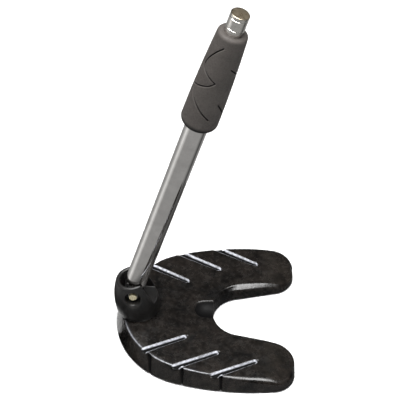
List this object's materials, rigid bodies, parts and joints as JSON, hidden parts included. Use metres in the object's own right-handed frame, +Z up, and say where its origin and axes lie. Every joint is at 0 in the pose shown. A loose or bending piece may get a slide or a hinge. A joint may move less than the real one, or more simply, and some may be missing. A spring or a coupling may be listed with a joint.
{
  "type": "shuffleboard cue",
  "caption": "Folding shuffleboard cue: cast crescent head that cradles the disc, friction hinge, telescoping chromed handle with rubber grip and end knob.",
  "frame": {"origin": "bottom centre of the whole object's box: midway along and across the head, on the floor under its glides", "axes": "+X from the hinge toward the head's open mouth, +Y across the head, +Z up"},
  "size_m": [0.1859, 0.1932, 0.4007],
  "materials": {
    "head_paint": "semi-gloss black paint over a sand-cast surface, slightly mottled",
    "housing_plastic": "fine matte moulded texture",
    "plug_plastic": "matte moulded",
    "grip_rubber": "matte moulded rubber with shallow curved channels",
    "tube_chrome": "polished chrome plating",
    "knob_chrome": "polished chrome plating",
    "bolt_zinc": "yellow zinc plating",
    "washer_steel": "turned steel",
    "screw_zinc": "zinc plating",
    "nylon": "natural nylon",
    "glide_nylon": "smooth natural nylon"
  },
  "bodies": {
    "head": {"head_casting": "head_paint", "glide_rear_left": "glide_nylon", "glide_rear_right": "glide_nylon", "glide_tip_left": "glide_nylon", "glide_tip_right": "glide_nylon", "glide_screws": "screw_zinc", "hinge_housing": "housing_plastic", "housing_screws": "screw_zinc", "pivot_bolt": "bolt_zinc", "pivot_nut": "bolt_zinc", "bolt_washers": "washer_steel", "friction_washers": "washer_steel"},
    "lower_handle": {"pivot_plug": "plug_plastic", "pivot_bush": "washer_steel", "outer_tube": "tube_chrome", "tube_bush": "nylon"},
    "lock": {"lock_sleeve": "nylon"},
    "upper_handle": {"lock_cone": "screw_zinc", "stud_plug": "screw_zinc", "inner_tube": "tube_chrome", "grip": "grip_rubber", "knob_insert": "nylon", "end_knob": "knob_chrome"}
  },
  "joints": [
    {"name": "fold", "type": "hinge", "parent": "head", "child": "lower_handle", "pos_m": [-0.0727, 0, 0.052], "axis": [0, 1, 0], "range_deg": [-24, 76]},
    {"name": "extend", "type": "slide", "parent": "lower_handle", "child": "lock", "axis": [0.3007, 0, 0.9537], "range_m": [0, 0.14]},
    {"name": "twist", "type": "hinge", "parent": "lock", "child": "upper_handle", "pos_m": [-0.04263, 0, 0.14737], "axis": [0.3007, 0, 0.9537], "range_deg": [0, 180]}
  ]
}
